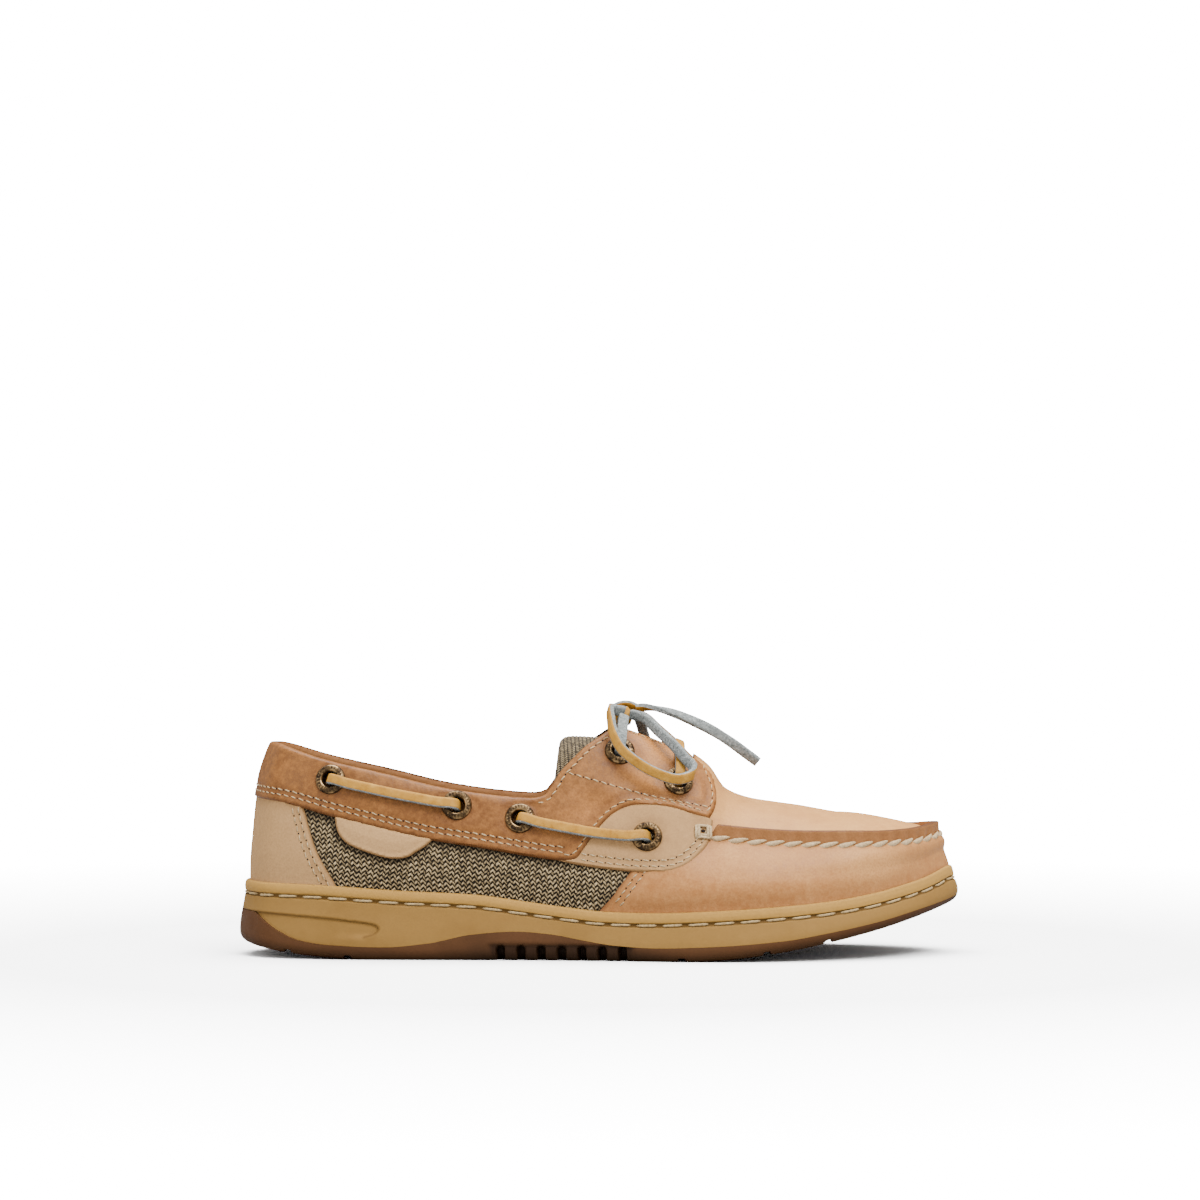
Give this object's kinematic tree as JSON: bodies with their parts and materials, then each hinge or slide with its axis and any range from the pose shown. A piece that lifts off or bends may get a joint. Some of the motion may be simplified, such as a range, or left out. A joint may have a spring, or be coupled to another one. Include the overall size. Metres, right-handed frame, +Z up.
{
  "type": "boat shoe",
  "caption": "Low moccasin-toe boat shoe for the right foot, with a cup sole, mesh quarters, leather overlays, a hand-sewn toe seam and a tied rawhide lace.",
  "frame": {"origin": "on the floor, under the middle of the sole's length and width", "axes": "+X toward the toe, +Y toward the inner side of the right foot, +Z up"},
  "size_m": [0.265, 0.0939, 0.0916],
  "materials": {
    "outsole_rubber": "matt red-brown gum rubber",
    "midsole_rubber": "matt tan rubber with a fine grain",
    "sock_leather": "smooth brown leather sock",
    "upper_leather": "oiled pull-up leather, mottled orange-brown",
    "trim_leather": "matt pale beige leather",
    "tongue_mesh": "beige and brown woven mesh",
    "eyelet_brass": "antiqued brass",
    "lace_rawhide": "rawhide thong, tan grain side and pale flesh side"
  },
  "bodies": {
    "root": {"outsole": "outsole_rubber", "midsole": "midsole_rubber", "insole": "sock_leather", "upper": "upper_leather", "tongue": "tongue_mesh", "collar_eyestay": "upper_leather", "saddle_lateral": "trim_leather", "saddle_medial": "trim_leather", "heel_counter": "trim_leather", "side_tab": "trim_leather", "eyelet_lateral_1": "eyelet_brass", "eyelet_lateral_2": "eyelet_brass", "eyelet_lateral_3": "eyelet_brass", "eyelet_lateral_4": "eyelet_brass", "eyelet_lateral_5": "eyelet_brass", "eyelet_lateral_6": "eyelet_brass", "eyelet_medial_1": "eyelet_brass", "eyelet_medial_2": "eyelet_brass", "eyelet_medial_3": "eyelet_brass", "eyelet_medial_4": "eyelet_brass", "eyelet_medial_5": "eyelet_brass", "eyelet_medial_6": "eyelet_brass", "lace_lateral_rear": "lace_rawhide", "lace_lateral_front": "lace_rawhide", "lace_lateral_riser": "lace_rawhide", "lace_medial_rear": "lace_rawhide", "lace_medial_front": "lace_rawhide", "lace_medial_riser": "lace_rawhide", "lace_crossing": "lace_rawhide", "lace_knot": "lace_rawhide", "lace_loop_near": "lace_rawhide", "lace_loop_far": "lace_rawhide", "lace_end_near": "lace_rawhide", "lace_end_far": "lace_rawhide"}
  },
  "joints": []
}
